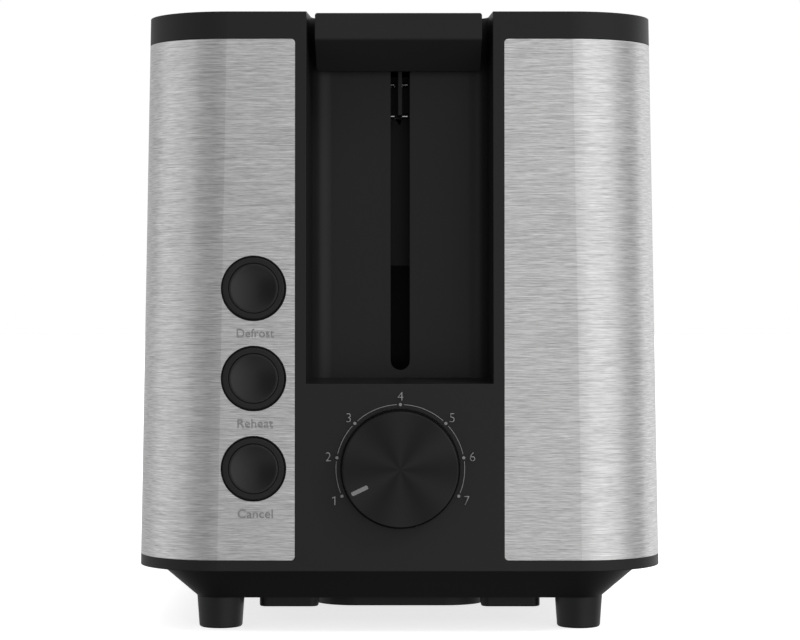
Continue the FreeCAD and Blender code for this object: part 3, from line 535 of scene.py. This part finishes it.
def softbox(name, azimuth, elevation, distance, width, height, power, target=(0, -0.05, 0.1)):
    """A rectangular area light round the object, unseen by the camera and by reflections.
    Azimuth 0 is in front of the control end, and + is to +X."""
    data = bpy.data.lights.new(name, "AREA")
    data.shape = "RECTANGLE"
    data.size = width
    data.size_y = height
    data.energy = power
    light = bpy.data.objects.new(name, data)
    bpy.context.scene.collection.objects.link(light)
    turn = math.radians(azimuth)
    rise = math.radians(elevation)
    out = Vector((math.sin(turn) * math.cos(rise), -math.cos(turn) * math.cos(rise), math.sin(rise)))
    light.location = Vector(target) + out * distance
    light.rotation_mode = "QUATERNION"
    light.rotation_quaternion = (-out).to_track_quat("-Z", "Y")
    light.visible_camera = False
    light.visible_glossy = False


# How bright the studio's walls are round the object, by azimuth in degrees: brightest to the right of the
# control end, darker to its left and beyond the corners.
STUDIO_WALLS = ((-180, 0.75), (-145, 0.52), (-119, 0.60), (-97, 0.79), (-79, 0.76), (-62, 0.70),
                (-47, 0.715), (-33, 0.69), (-19, 0.58), (-15.5, 0.585), (-12, 0.61), (-9, 0.615),
                (-6.5, 0.60), (-4.5, 0.588), (-2.6, 0.60), (2.6, 0.765), (4.5, 0.775), (6.5, 0.82),
                (9, 0.91), (12, 0.98), (16, 1.05), (20, 1.11), (30, 1.16), (42, 1.12), (55, 1.05),
                (63, 0.94), (79, 0.65), (97, 0.55), (108, 0.68), (119, 0.90), (145, 0.86), (180, 0.75))
# And by elevation: dim towards the floor, even above the horizon, brighter overhead.
STUDIO_HEIGHTS = ((-90, 0.08), (-55, 0.17), (-38, 0.42), (-20, 0.85), (-6, 1.0), (5, 1.0), (45, 0.96),
                  (65, 1.05), (90, 1.1))
# A dark screen stands low on the left: how much it takes away by azimuth, and the heights it covers.
SCREEN_DEPTH = ((-180, 0.0), (-62, 0.0), (-47, 0.30), (-33, 0.60), (-15, 0.60), (-8, 0.3), (-3, 0.0),
                (180, 0.0))
SCREEN_HEIGHTS = ((-90, 0.0), (-16, 0.0), (-6, 1.0), (11, 1.0), (24, 0.0), (90, 0.0))


def value_ramp(tree, source, stops, low, high):
    """A smooth curve through stops of (input, value), as a float curve over low..high."""
    scaled = tree.nodes.new("ShaderNodeMapRange")
    scaled.inputs["From Min"].default_value = low
    scaled.inputs["From Max"].default_value = high
    tree.links.new(source, scaled.inputs["Value"])
    curve = tree.nodes.new("ShaderNodeFloatCurve")
    points = curve.mapping.curves[0].points
    top = max(value for _, value in stops)
    first, last = stops[0], stops[-1]
    points[0].location = (0, first[1] / top)
    points[1].location = (1, last[1] / top)
    for place, value in stops[1:-1]:
        points.new((place - low) / (high - low), value / top)
    curve.mapping.update()
    tree.links.new(scaled.outputs["Result"], curve.inputs["Value"])
    full = tree.nodes.new("ShaderNodeMath")
    full.operation = "MULTIPLY"
    full.inputs[1].default_value = top
    tree.links.new(curve.outputs["Value"], full.inputs[0])
    return full.outputs[0]


def build_light():
    """The studio as a world that the camera sees as plain white, and two softboxes."""
    world = bpy.data.worlds.new("studio")
    bpy.context.scene.world = world
    world.use_nodes = True
    tree = world.node_tree
    background = tree.nodes["Background"]
    direction = tree.nodes.new("ShaderNodeTexCoord")
    apart = tree.nodes.new("ShaderNodeSeparateXYZ")
    tree.links.new(direction.outputs["Generated"], apart.inputs[0])

    def maths(operation, first, second=0.0):
        node = tree.nodes.new("ShaderNodeMath")
        node.operation = operation
        for socket, value in zip(node.inputs, (first, second)):
            if isinstance(value, (int, float)):
                socket.default_value = value
            else:
                tree.links.new(value, socket)
        return node.outputs[0]

    azimuth = maths("DEGREES", maths("ARCTAN2", apart.outputs["X"], maths("MULTIPLY", apart.outputs["Y"], -1)))
    elevation = maths("DEGREES", maths("ARCSINE", apart.outputs["Z"]))
    walls = value_ramp(tree, azimuth, STUDIO_WALLS, -180, 180)
    heights = value_ramp(tree, elevation, STUDIO_HEIGHTS, -90, 90)
    depth = value_ramp(tree, azimuth, SCREEN_DEPTH, -180, 180)
    covered = value_ramp(tree, elevation, SCREEN_HEIGHTS, -90, 90)
    left_over = maths("SUBTRACT", 1.0, maths("MULTIPLY", depth, covered))
    studio = maths("MULTIPLY", maths("MULTIPLY", walls, heights), left_over)
    path = tree.nodes.new("ShaderNodeLightPath")
    mix = tree.nodes.new("ShaderNodeMix")
    mix.data_type = "FLOAT"
    tree.links.new(path.outputs["Is Camera Ray"], mix.inputs["Factor"])
    tree.links.new(studio, mix.inputs["A"])
    mix.inputs["B"].default_value = 1.0
    tree.links.new(mix.outputs["Result"], background.inputs["Strength"])
    background.inputs["Color"].default_value = (1, 1, 1, 1)
    softbox("key_right", azimuth=56, elevation=40, distance=2.2, width=0.5, height=0.5, power=22)
    softbox("low_fill", azimuth=6, elevation=-8, distance=0.75, width=0.30, height=0.12, power=1.5,
            target=(0, FRONT, 0.12))
    bpy.context.scene.view_settings.view_transform = "Standard"


make_camera()
dress_nodes()
build_dial()
build_labels()
build_pointer()
build_stage()
build_light()
